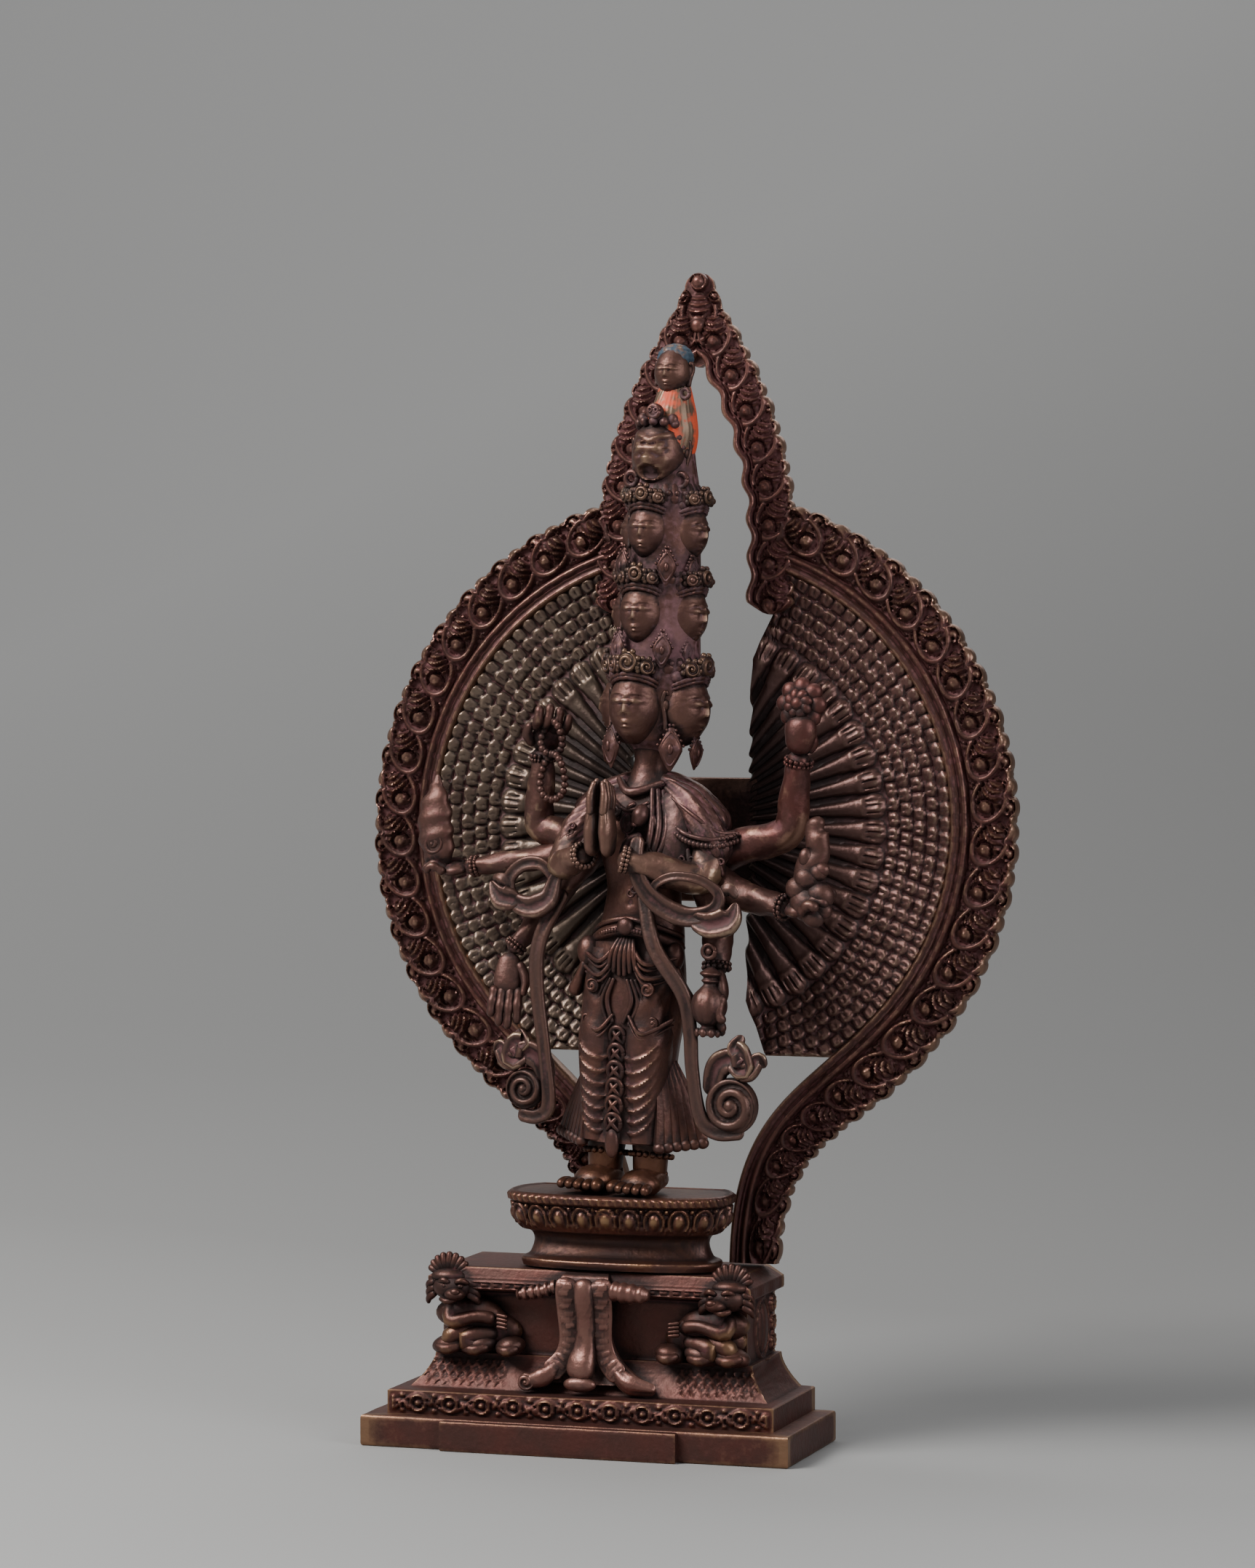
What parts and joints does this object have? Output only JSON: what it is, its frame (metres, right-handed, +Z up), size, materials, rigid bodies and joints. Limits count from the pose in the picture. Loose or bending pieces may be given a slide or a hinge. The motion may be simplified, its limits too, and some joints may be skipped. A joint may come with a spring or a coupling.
{
  "type": "avalokiteshvara statue",
  "caption": "Standing many-headed, many-armed bodhisattva in cast copper on a lotus pedestal, with a pointed openwork aureole of hands, on a stepped throne.",
  "frame": {"origin": "middle of the throne's flat underside", "axes": "+Z up, the figure faces -Y, +X to the viewer's right"},
  "size_m": [0.0868, 0.0286, 0.1504],
  "materials": {
    "throne_copper": "dark reddish-brown patina, satin, worn to a brassy tone on the edges",
    "figure_copper": "dark reddish-brown patina with pinkish-red residue in the hollows and traces of paint on the upper heads' hair",
    "aureole_copper": "dark reddish-brown patina, greyer on the fields of hands"
  },
  "bodies": {
    "root": {"throne": "throne_copper", "figure_on_lotus_pedestal": "figure_copper", "aureole": "aureole_copper"}
  },
  "joints": []
}
